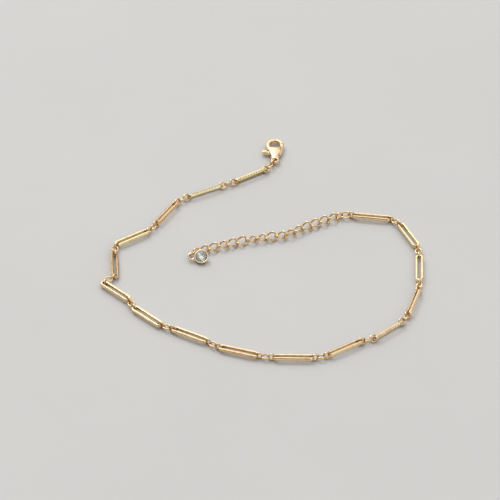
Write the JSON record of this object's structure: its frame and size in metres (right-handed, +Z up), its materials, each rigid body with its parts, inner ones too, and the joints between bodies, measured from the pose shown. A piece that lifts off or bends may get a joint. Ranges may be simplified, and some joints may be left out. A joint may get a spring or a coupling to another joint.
{
  "type": "chain anklet",
  "caption": "Fine chain anklet of slotted bar links and small wire links, with a lobster clasp and an extender that ends in a bezel-set crystal drop.",
  "frame": {"origin": "centre of the bounding box's bottom face, where the anklet lies", "axes": "+Z up from the surface it lies on, +Y towards the clasp's head, +X towards the last bars before the extender"},
  "size_m": [0.0796, 0.087, 0.0027],
  "materials": {
    "bar_gold": "polished champagne gold plate, diamond-cut sides",
    "link_gold": "polished champagne gold plate",
    "curb_gold": "polished gold plate",
    "clasp_gold": "high-polish gold plate",
    "bezel_gold": "high-polish gold plate",
    "crystal": "clear faceted stone"
  },
  "bodies": {
    "anklet": {"bar_01": "bar_gold", "bar_02": "bar_gold", "bar_03": "bar_gold", "bar_04": "bar_gold", "bar_05": "bar_gold", "bar_06": "bar_gold", "bar_07": "bar_gold", "bar_08": "bar_gold", "bar_09": "bar_gold", "bar_10": "bar_gold", "bar_11": "bar_gold", "bar_12": "bar_gold", "bar_13": "bar_gold", "bar_14": "bar_gold", "bar_15": "bar_gold", "bar_16": "bar_gold", "clasp_body": "clasp_gold", "drop_bezel": "bezel_gold", "drop_crystal": "crystal", "drop_link": "link_gold", "drop_ring": "link_gold", "end_link": "link_gold", "extender_chain": "curb_gold", "extender_link": "link_gold", "jump_ring": "link_gold", "rings_01": "link_gold", "rings_02": "link_gold", "rings_03": "link_gold", "rings_04": "link_gold", "rings_05": "link_gold", "rings_06": "link_gold", "rings_07": "link_gold", "rings_08": "link_gold", "rings_09": "link_gold", "rings_10": "link_gold", "rings_11": "link_gold", "rings_12": "link_gold", "rings_13": "link_gold", "rings_14": "link_gold", "rings_15": "link_gold", "rings_16": "link_gold"},
    "lever": {"clasp_lever": "clasp_gold"}
  },
  "joints": [
    {"name": "clasp_lever_hinge", "type": "hinge", "parent": "anklet", "child": "lever", "pos_m": [0.00328, 0.03746, 0.001], "axis": [0, 0, 1], "range_deg": [0, 25], "stiffness_Nm_per_rad": 0.004, "springref_deg": -17.19}
  ]
}
